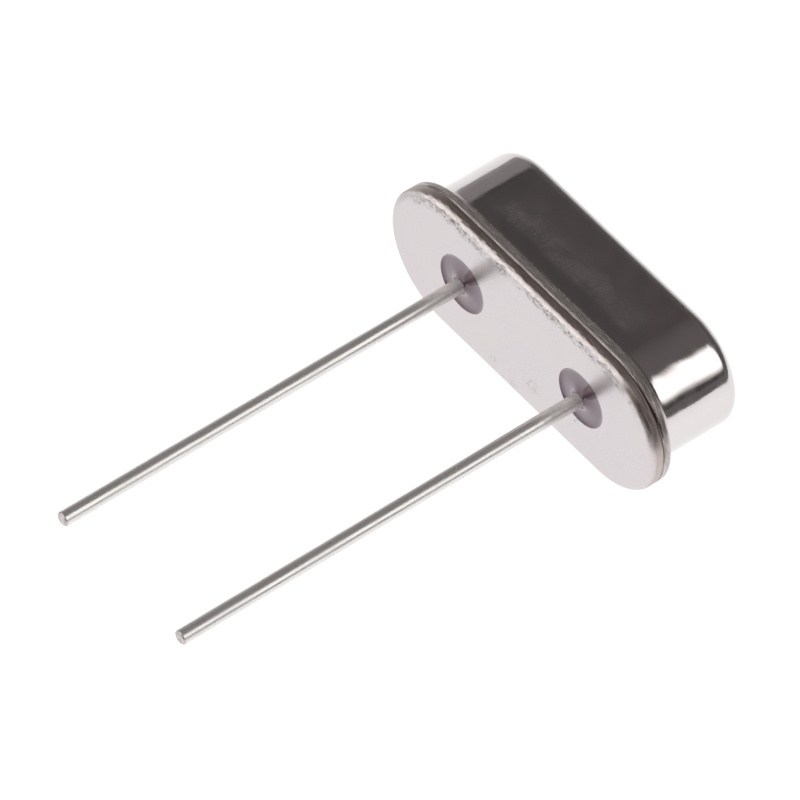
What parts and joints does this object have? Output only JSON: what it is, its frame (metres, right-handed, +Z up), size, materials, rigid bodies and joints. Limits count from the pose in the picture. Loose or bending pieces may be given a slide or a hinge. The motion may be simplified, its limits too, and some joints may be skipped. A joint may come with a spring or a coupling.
{
  "type": "crystal oscillator",
  "caption": "Low oval metal can with a welded rim; straight wire leads leave its flat base through glass seals. A quartz strip inside sets a circuit's frequency.",
  "frame": {"origin": "centre of the bounding box's foot, on the surface that the unit lies on", "axes": "+X along the base's long side, from the left lead to the right lead; +Y from the leads' tips towards the can's crown, level with the surface; +Z up. The unit lies on its broad side, on the edge of its flange and the shoulder of its can, so its leads rise 7.3 degrees towards their tips."},
  "size_m": [0.0108, 0.0166, 0.0044],
  "materials": {
    "can_plating": "polished",
    "base_plating": "satin",
    "seal_glass": "gloss",
    "tinned_wire": "gloss",
    "clip_ribbon": "satin",
    "quartz": "polished",
    "silver_film": "gloss",
    "conductive_adhesive": "satin"
  },
  "bodies": {
    "root": {"can_cover": "can_plating", "base_plate": "base_plating", "glass_seal_left": "seal_glass", "glass_seal_right": "seal_glass", "lead_left": "tinned_wire", "lead_right": "tinned_wire", "mounting_clip_left": "clip_ribbon", "mounting_clip_right": "clip_ribbon", "quartz_blank": "quartz", "electrode_upper": "silver_film", "electrode_lower": "silver_film", "adhesive_left": "conductive_adhesive", "adhesive_right": "conductive_adhesive"}
  },
  "joints": []
}
